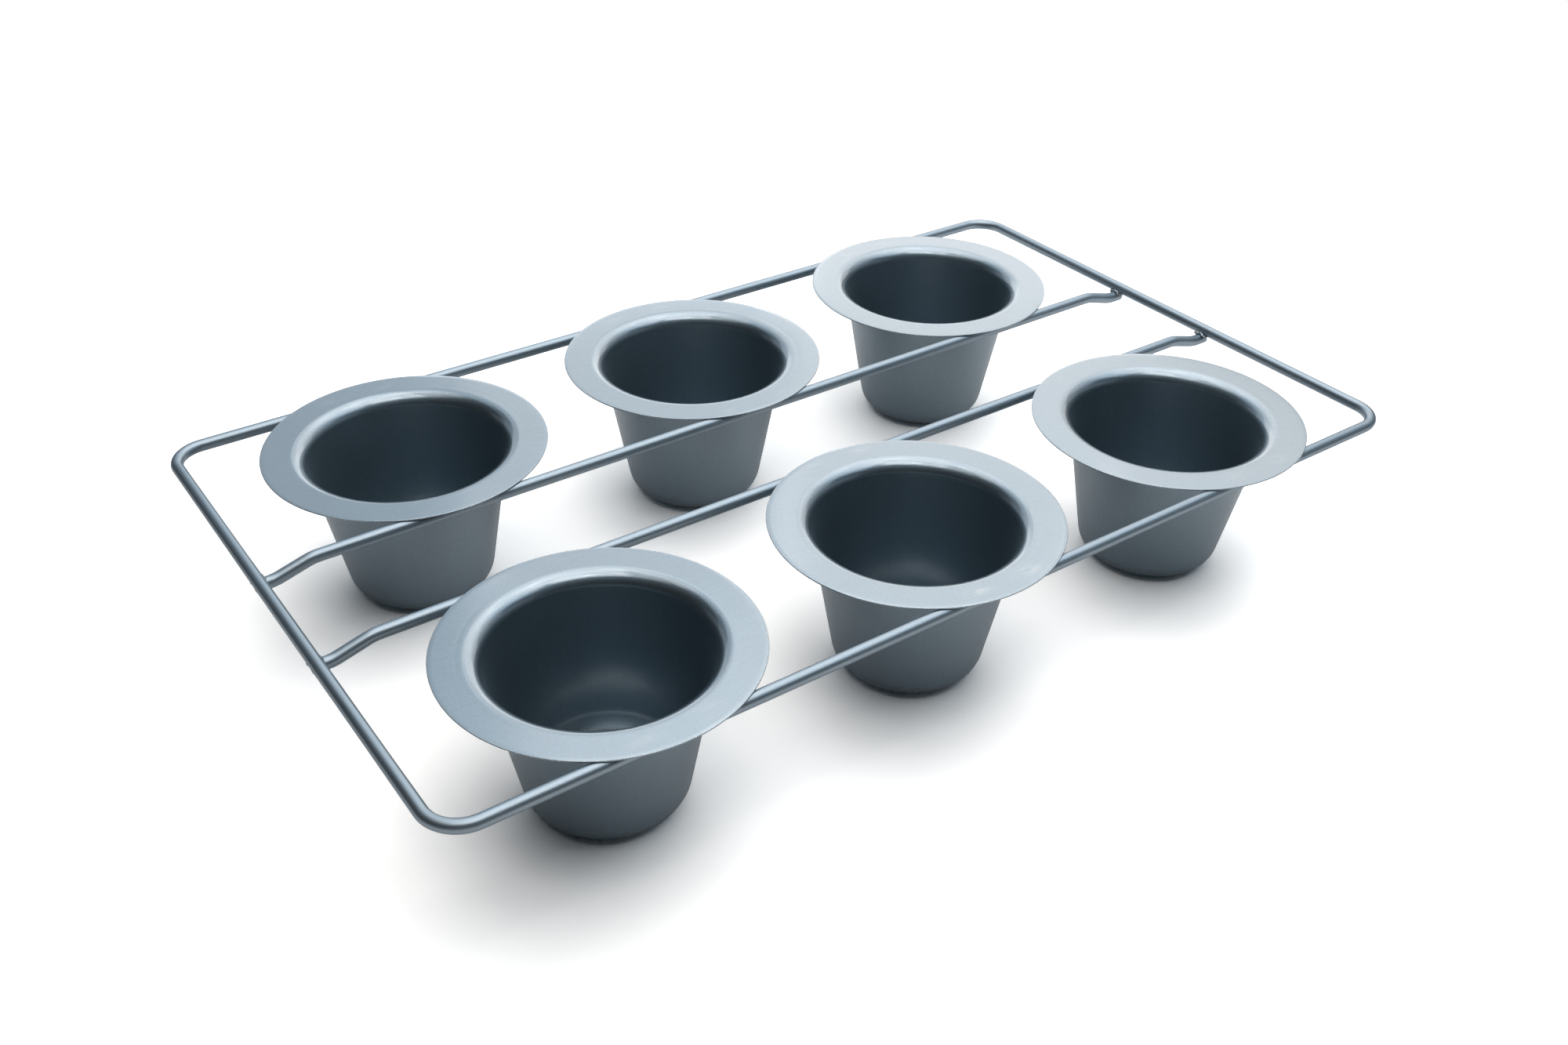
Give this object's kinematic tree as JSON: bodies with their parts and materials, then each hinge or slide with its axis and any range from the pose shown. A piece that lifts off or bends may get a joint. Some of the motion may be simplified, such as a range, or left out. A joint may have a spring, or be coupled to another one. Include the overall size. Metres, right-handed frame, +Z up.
{
  "type": "popover pan",
  "caption": "Popover pan: deep tapered cups with wide flat flanges, welded side by side on a rounded wire frame that leaves air and finger gaps between them.",
  "frame": {"origin": "middle of the plan, on the plane that the cup bases stand on", "axes": "+X along the pan's length, +Y across it towards the back row, +Z up out of the cups"},
  "size_m": [0.4, 0.2468, 0.061],
  "materials": {
    "cup_coating": "satin blue-grey metallic non-stick coating",
    "wire_coating": "satin blue-grey metallic coating",
    "weld_metal": "coated weld metal, slightly rough"
  },
  "bodies": {
    "root": {"cup_front_left": "cup_coating", "cup_front_middle": "cup_coating", "cup_front_right": "cup_coating", "cup_back_left": "cup_coating", "cup_back_middle": "cup_coating", "cup_back_right": "cup_coating", "frame_wire": "wire_coating", "inner_wire_front": "wire_coating", "inner_wire_back": "wire_coating", "frame_butt_weld": "weld_metal", "crossing_weld_front_left": "weld_metal", "crossing_weld_front_right": "weld_metal", "crossing_weld_back_left": "weld_metal", "crossing_weld_back_right": "weld_metal", "spot_welds_front_left": "weld_metal", "spot_welds_front_middle": "weld_metal", "spot_welds_front_right": "weld_metal", "spot_welds_back_left": "weld_metal", "spot_welds_back_middle": "weld_metal", "spot_welds_back_right": "weld_metal"}
  },
  "joints": []
}
